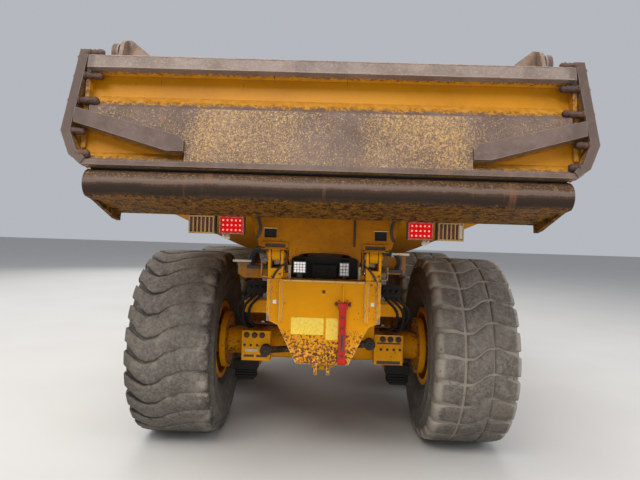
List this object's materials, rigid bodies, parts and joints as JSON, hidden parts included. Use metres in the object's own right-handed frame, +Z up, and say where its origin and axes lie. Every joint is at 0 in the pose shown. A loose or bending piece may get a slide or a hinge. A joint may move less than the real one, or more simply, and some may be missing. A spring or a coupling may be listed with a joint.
{
  "type": "articulated dump truck",
  "caption": "Articulated dump truck: tipping load body with overhung tailgate on a bogie, hinged to a cab and engine unit by a roll-and-steer hitch.",
  "frame": {"origin": "on the floor, under the middle of the overall length and width", "axes": "+X forward along the truck, +Y to its left, +Z up"},
  "size_m": [10.24, 3.092, 3.4298],
  "materials": {
    "paint": "worn golden yellow paint, satin",
    "worn_steel": "bare plate worn by loads, brown-grey",
    "body_paint": "yellow paint chipped by loads",
    "dark_metal": "dark grey paint, satin",
    "cast": "oily cast iron",
    "tyre": "worn and dusty",
    "rod_chrome": "polished hydraulic rod",
    "red_paint": "red paint, scuffed",
    "lamp": "red lens in a steel guard",
    "lamp_clear": "clear lens",
    "glass": "tinted",
    "black_plastic": "matte"
  },
  "bodies": {
    "rear_frame": {"rear_frame": "paint", "cross_members": "paint", "tail_box": "paint", "prop_bar": "red_paint", "frame_hoses": "black_plastic", "mid_axle": "paint", "rear_axle": "paint", "bogie_links": "paint", "drive_shafts": "cast"},
    "hitch_head": {"hitch_head": "paint"},
    "front_unit": {"front_frame": "paint", "front_axle": "paint", "engine_block": "cast", "bumper": "dark_metal", "front_fenders": "paint", "cab_shell": "paint", "cab_glass": "glass", "operator_station": "black_plastic", "cab_steps": "dark_metal", "mirrors": "black_plastic", "headlights": "lamp_clear", "exhaust_stack": "dark_metal", "fuel_tank": "dark_metal"},
    "hood": {"hood": "paint", "grille": "dark_metal"},
    "cab_door": {"cab_door": "paint", "door_glass": "glass"},
    "hoist_barrels": {"hoist_barrels": "paint"},
    "hoist_rods": {"hoist_rods": "rod_chrome"},
    "dump_body": {"dump_body": "body_paint", "headboard": "body_paint", "chute_lip": "worn_steel", "rear_lamps": "lamp", "lamp_hoses": "black_plastic"},
    "tailgate": {"tailgate": "body_paint"},
    "wheel_mid_left": {"tyre_mid_left": "tyre", "rim_mid_left": "paint"},
    "wheel_mid_right": {"tyre_mid_right": "tyre", "rim_mid_right": "paint"},
    "wheel_rear_left": {"tyre_rear_left": "tyre", "rim_rear_left": "paint"},
    "wheel_rear_right": {"tyre_rear_right": "tyre", "rim_rear_right": "paint"},
    "wheel_front_left": {"tyre_front_left": "tyre", "rim_front_left": "paint"},
    "wheel_front_right": {"tyre_front_right": "tyre", "rim_front_right": "paint"},
    "steer_barrel_left": {"steer_barrel_left": "paint"},
    "steer_rod_left": {"steer_rod_left": "rod_chrome"},
    "steer_barrel_right": {"steer_barrel_right": "paint"},
    "steer_rod_right": {"steer_rod_right": "rod_chrome"}
  },
  "joints": [
    {"name": "hitch_roll", "type": "hinge", "parent": "rear_frame", "child": "hitch_head", "pos_m": [0.9, 0, 1], "axis": [1, 0, 0], "range_deg": [-15, 15]},
    {"name": "steering", "type": "hinge", "parent": "hitch_head", "child": "front_unit", "pos_m": [1.2, 0, 1], "axis": [0, 0, 1], "range_deg": [-45, 45]},
    {"name": "roll_mid_left", "type": "hinge", "parent": "rear_frame", "child": "wheel_mid_left", "pos_m": [-1.725, 1.197, 0.81], "axis": [0, 1, 0], "continuous": true},
    {"name": "roll_mid_right", "type": "hinge", "parent": "rear_frame", "child": "wheel_mid_right", "pos_m": [-1.725, -1.197, 0.81], "axis": [0, 1, 0], "continuous": true},
    {"name": "roll_rear_left", "type": "hinge", "parent": "rear_frame", "child": "wheel_rear_left", "pos_m": [-3.395, 1.197, 0.81], "axis": [0, 1, 0], "continuous": true},
    {"name": "roll_rear_right", "type": "hinge", "parent": "rear_frame", "child": "wheel_rear_right", "pos_m": [-3.395, -1.197, 0.81], "axis": [0, 1, 0], "continuous": true},
    {"name": "roll_front_left", "type": "hinge", "parent": "front_unit", "child": "wheel_front_left", "pos_m": [2.45, 1.197, 0.81], "axis": [0, 1, 0], "continuous": true},
    {"name": "roll_front_right", "type": "hinge", "parent": "front_unit", "child": "wheel_front_right", "pos_m": [2.45, -1.197, 0.81], "axis": [0, 1, 0], "continuous": true},
    {"name": "body_tip", "type": "hinge", "parent": "rear_frame", "child": "dump_body", "pos_m": [-4.29, 0, 1.64], "axis": [0, -1, 0], "range_deg": [0, 70]},
    {"name": "tailgate_swing", "type": "hinge", "parent": "dump_body", "child": "tailgate", "pos_m": [-4.56, 0, 2.965], "axis": [0, 1, 0], "range_deg": [0, 55]},
    {"name": "hood_tilt", "type": "hinge", "parent": "front_unit", "child": "hood", "pos_m": [4.89, 0, 1.35], "axis": [0, 1, 0], "range_deg": [0, 60]},
    {"name": "door_swing", "type": "hinge", "parent": "front_unit", "child": "cab_door", "pos_m": [2.95, 0.816, 2.5], "axis": [0, 0, -1], "range_deg": [0, 80]},
    {"name": "steer_barrel_swing_left", "type": "hinge", "parent": "front_unit", "child": "steer_barrel_left", "pos_m": [2.08, 0.34, 1], "axis": [0, 0, 1], "range_deg": [-3, 3]},
    {"name": "steer_rod_slide_left", "type": "slide", "parent": "steer_barrel_left", "child": "steer_rod_left", "axis": [-0.999, -0.0454, 0], "range_m": [-0.212, 0.212]},
    {"name": "steer_barrel_swing_right", "type": "hinge", "parent": "front_unit", "child": "steer_barrel_right", "pos_m": [2.08, -0.34, 1], "axis": [0, 0, 1], "range_deg": [-3, 3]},
    {"name": "steer_rod_slide_right", "type": "slide", "parent": "steer_barrel_right", "child": "steer_rod_right", "axis": [-0.999, 0.0454, 0], "range_m": [-0.212, 0.212]},
    {"name": "hoist_barrel_swing", "type": "hinge", "parent": "rear_frame", "child": "hoist_barrels", "pos_m": [-1.8, 0, 1.07], "axis": [0, 1, 0], "range_deg": [0, 24]},
    {"name": "hoist_rod_slide", "type": "slide", "parent": "hoist_barrels", "child": "hoist_rods", "axis": [-0.967, 0, 0.2547], "range_m": [0, 1.01]}
  ],
  "couplings": [
    {"joint": "steer_barrel_swing_left", "follows": "steering", "ratio": 0.046},
    {"joint": "steer_rod_slide_left", "follows": "steering", "m_per_rad": -0.2673},
    {"joint": "steer_barrel_swing_right", "follows": "steering", "ratio": 0.046},
    {"joint": "steer_rod_slide_right", "follows": "steering", "m_per_rad": 0.2673},
    {"joint": "hoist_barrel_swing", "follows": "body_tip", "ratio": 0.3354},
    {"joint": "hoist_rod_slide", "follows": "body_tip", "m_per_rad": 0.82277}
  ]
}
